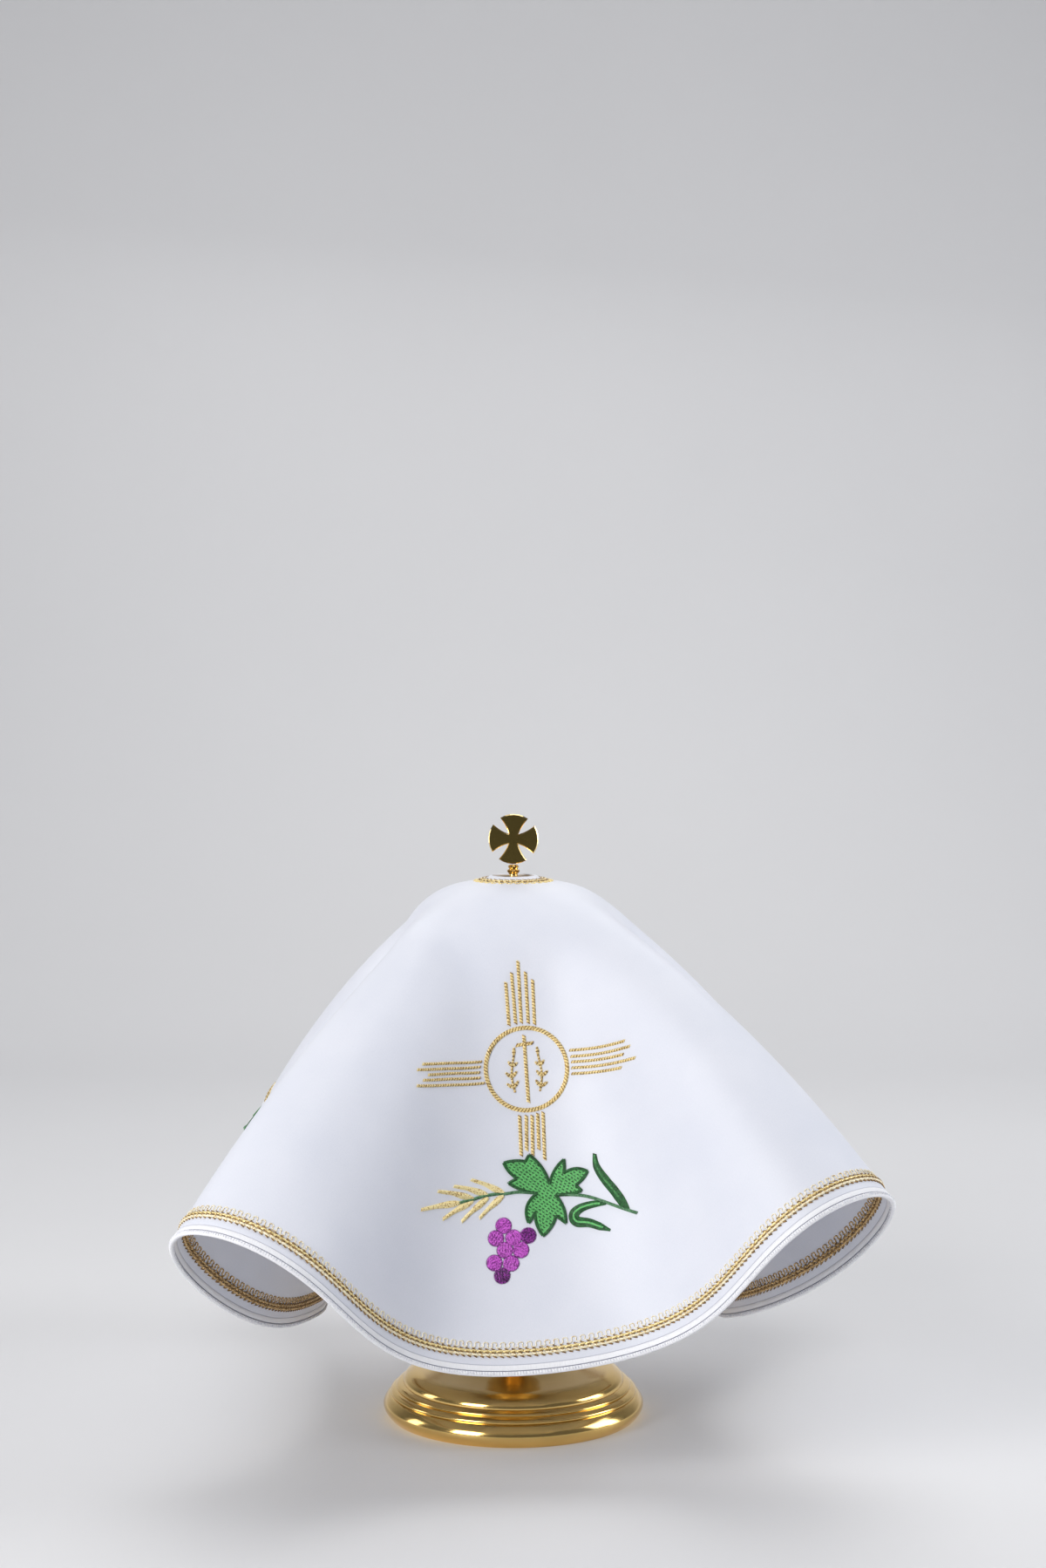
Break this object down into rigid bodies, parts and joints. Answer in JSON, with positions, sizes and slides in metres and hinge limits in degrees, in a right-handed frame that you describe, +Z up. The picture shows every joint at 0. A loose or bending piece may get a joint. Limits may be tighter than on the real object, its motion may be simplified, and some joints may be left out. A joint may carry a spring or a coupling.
{
  "type": "ciborium veil on a ciborium",
  "caption": "Round white satin veil with a neck hole, draped in soft lobes over a covered brass ciborium with a cross on its lid.",
  "frame": {"origin": "centre of the foot's flat underside", "axes": "+Z up along the ciborium's axis, -Y towards the front, where the embroidered panel faces"},
  "size_m": [0.3223, 0.386, 0.3017],
  "materials": {
    "satin": "white matte satin with gold and coloured embroidery",
    "gilt": "polished gilt"
  },
  "bodies": {
    "root": {"foot": "gilt", "lower_stem": "gilt", "knop": "gilt", "upper_stem": "gilt", "cup": "gilt", "lid": "gilt", "finial": "gilt", "cross": "gilt", "veil": "satin"}
  },
  "joints": []
}
